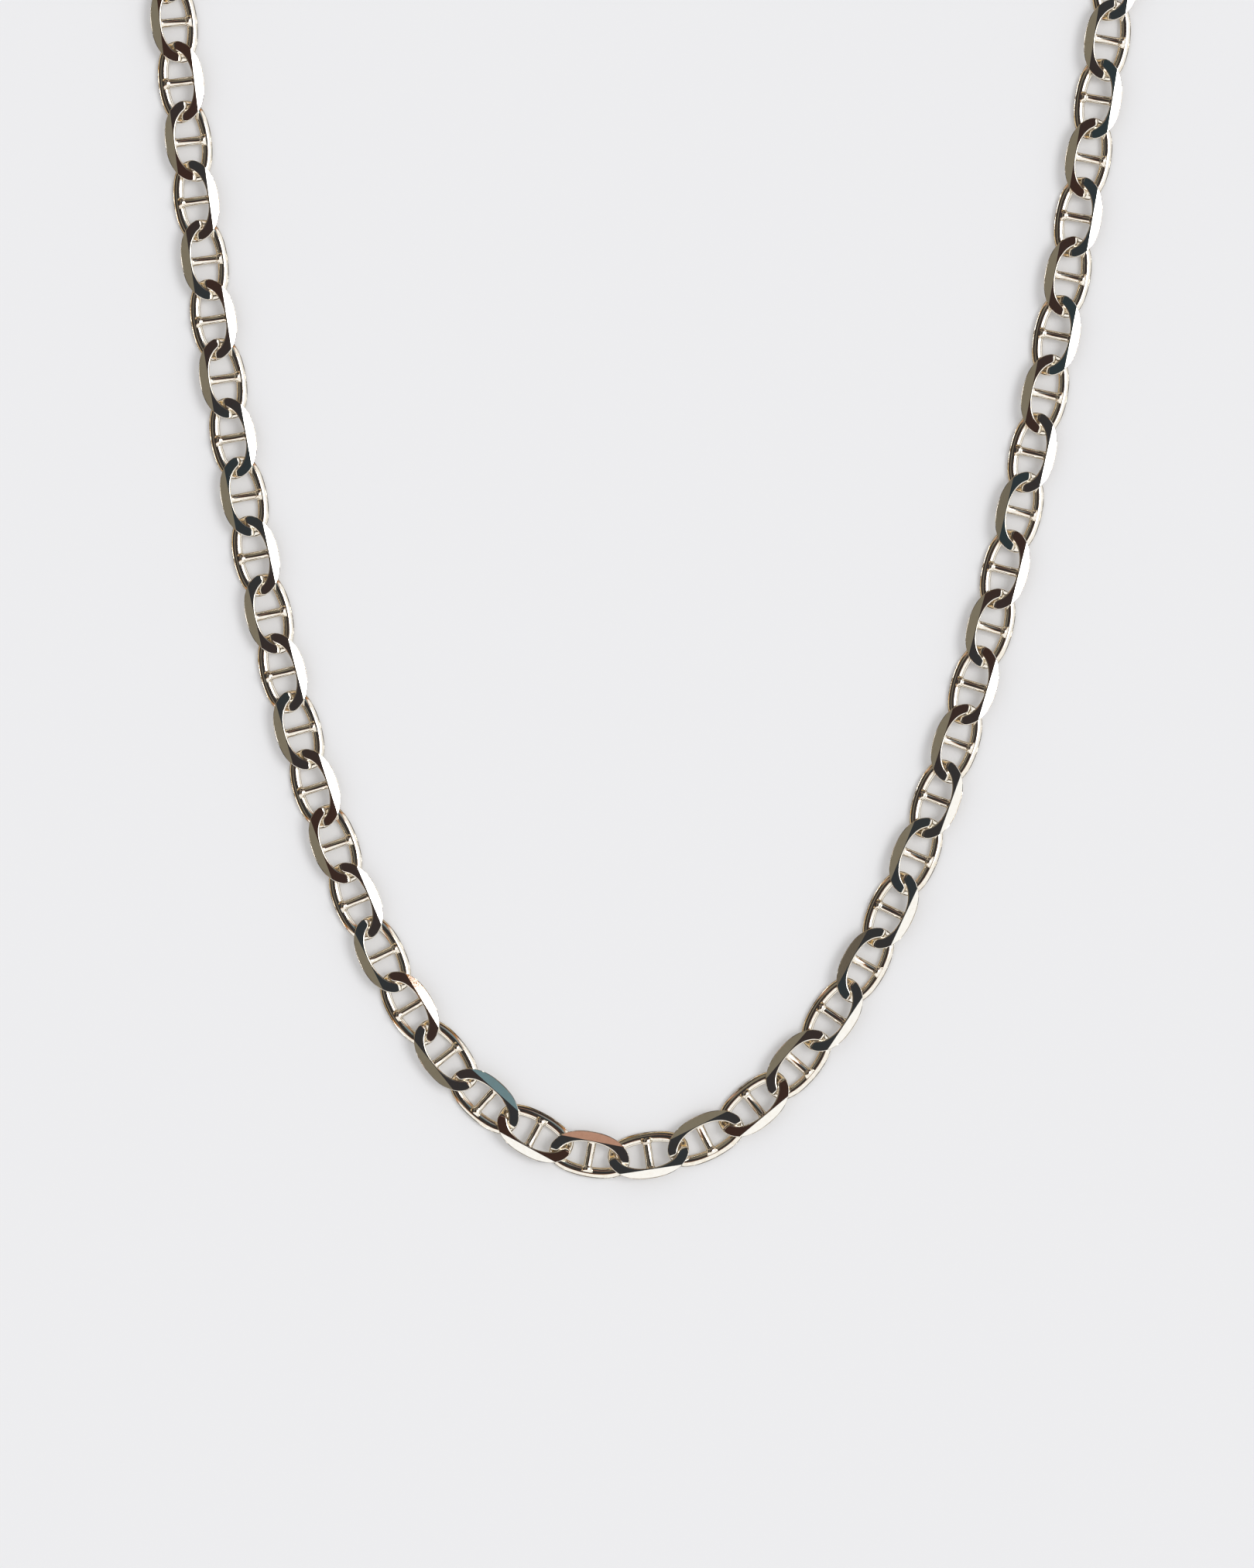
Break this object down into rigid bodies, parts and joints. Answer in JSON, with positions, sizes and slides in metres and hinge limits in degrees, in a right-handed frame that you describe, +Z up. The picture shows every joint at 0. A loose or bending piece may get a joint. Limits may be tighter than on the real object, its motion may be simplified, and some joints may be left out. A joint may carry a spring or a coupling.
{
  "type": "mariner link chain necklace",
  "caption": "Planed silver mariner link chain, a closed necklace loop of flat barred oval links that lie over and under each other, with a plain barrel clasp, hanging in a narrow drop.",
  "frame": {"origin": "underside of the clasp's barrel at the top of the loop, where the necklace bears on the neck, peg or hook that carries it", "axes": "+Z up, from the lowest link to the clasp; the loop lies in the XZ plane; -Y is the face that shows when it is worn"},
  "size_m": [0.1114, 0.0042, 0.2069],
  "materials": {
    "silver": "polished sterling silver, its planed faces mirror bright"
  },
  "bodies": {
    "root": {"chain_left": "silver", "chain_right": "silver", "clasp": "silver"}
  },
  "joints": []
}
